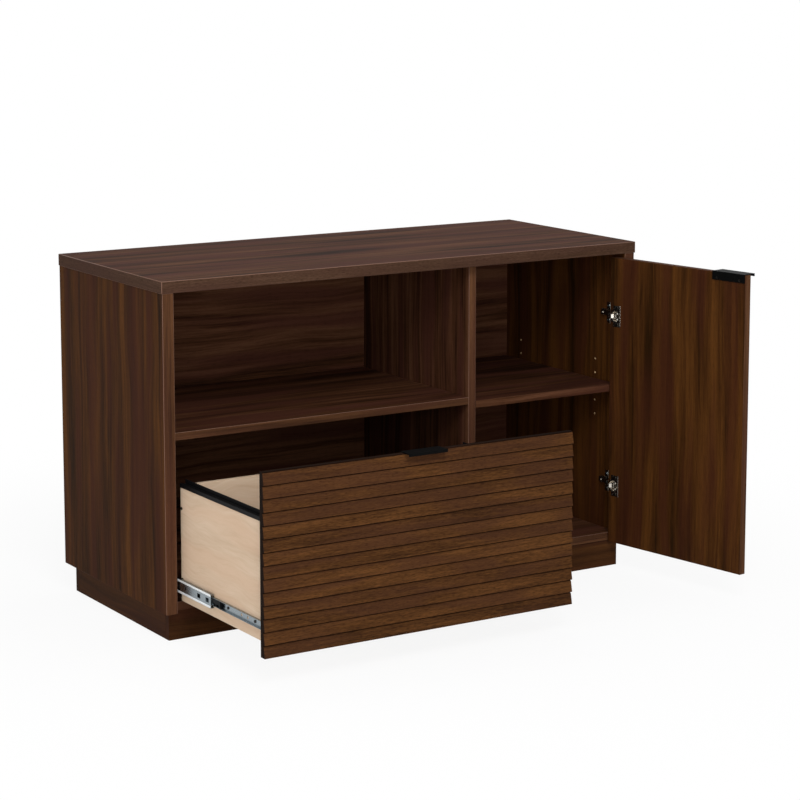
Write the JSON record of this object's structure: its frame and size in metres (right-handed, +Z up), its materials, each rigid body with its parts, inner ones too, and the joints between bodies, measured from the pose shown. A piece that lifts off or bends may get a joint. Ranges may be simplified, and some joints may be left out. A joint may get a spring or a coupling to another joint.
{
  "type": "office credenza",
  "caption": "Low office credenza with an open bay over a file drawer on full-extension slides, and a hinged door over an adjustable shelf.",
  "frame": {"origin": "on the floor, under the middle of the cabinet body, on the underside of the plinth's centre rail", "axes": "+Z up, +X along the width towards the door's bay, and -Y out of the front, where the drawer opens"},
  "size_m": [1.2241, 0.869, 0.746],
  "materials": {
    "laminate_flat": "satin laminate",
    "laminate_upright": "satin laminate",
    "laminate_shade": "satin laminate",
    "slat_wood": "satin",
    "maple": "satin",
    "zinc": "zinc plated",
    "nickel": "nickel plated",
    "black_metal": "powder coated",
    "black_plastic": "matt"
  },
  "bodies": {
    "cabinet": {"top_panel": "laminate_flat", "left_end_panel": "laminate_upright", "right_end_panel": "laminate_upright", "divider_panel": "laminate_upright", "bottom_panel": "laminate_flat", "fixed_shelf": "laminate_flat", "adjustable_shelf": "laminate_flat", "shelf_pins": "nickel", "back_panel": "laminate_shade", "plinth_front": "laminate_shade", "plinth_back": "laminate_shade", "plinth_left": "laminate_shade", "plinth_right": "laminate_shade", "plinth_centre": "laminate_shade", "dowels": "maple", "cam_locks": "zinc", "cam_bolts": "zinc", "cabinet_screws": "zinc", "slide_outer_left": "zinc", "slide_outer_right": "zinc", "hinge_plate_upper": "nickel", "hinge_plate_lower": "nickel", "hinge_arm_upper": "nickel", "hinge_arm_lower": "nickel"},
    "slide_middles": {"slide_middle_left": "zinc", "slide_middle_right": "zinc", "slide_ball_cages": "zinc"},
    "drawer": {"drawer_front_board": "slat_wood", "slat_01": "slat_wood", "slat_02": "slat_wood", "slat_03": "slat_wood", "slat_04": "slat_wood", "slat_05": "slat_wood", "slat_06": "slat_wood", "slat_07": "slat_wood", "slat_08": "slat_wood", "slat_09": "slat_wood", "slat_10": "slat_wood", "slat_11": "slat_wood", "slat_12": "slat_wood", "slat_13": "slat_wood", "slat_14": "slat_wood", "drawer_side_left": "maple", "drawer_side_right": "maple", "drawer_back": "maple", "drawer_bottom": "maple", "file_rail_left": "black_plastic", "file_rail_right": "black_plastic", "file_rail_centre": "black_plastic", "slide_inner_left": "zinc", "slide_inner_right": "zinc", "slide_levers": "black_plastic", "drawer_pull": "black_metal", "drawer_screws": "zinc"},
    "hinge_links": {"hinge_links": "nickel"},
    "door": {"door_panel": "laminate_upright", "door_pull": "black_metal", "hinge_cup_upper": "nickel", "hinge_cup_lower": "nickel", "door_screws": "zinc"}
  },
  "joints": [
    {"name": "drawer_slide", "type": "slide", "parent": "cabinet", "child": "drawer", "axis": [0, -1, 0], "range_m": [-0.36, 0]},
    {"name": "middle_slide", "type": "slide", "parent": "cabinet", "child": "slide_middles", "axis": [0, -1, 0], "range_m": [-0.162, 0]},
    {"name": "hinge_link_turn", "type": "hinge", "parent": "cabinet", "child": "hinge_links", "pos_m": [0.5444, -0.23835, 0.386], "axis": [0, 0, 1], "range_deg": [-138, 0]},
    {"name": "door_swing", "type": "hinge", "parent": "hinge_links", "child": "door", "pos_m": [0.54214, -0.2483, 0.386], "axis": [0, 0, 1], "range_deg": [0, 38.5]}
  ],
  "couplings": [
    {"joint": "middle_slide", "follows": "drawer_slide", "ratio": 0.45},
    {"joint": "hinge_link_turn", "follows": "door_swing", "ratio": -3.5844}
  ]
}
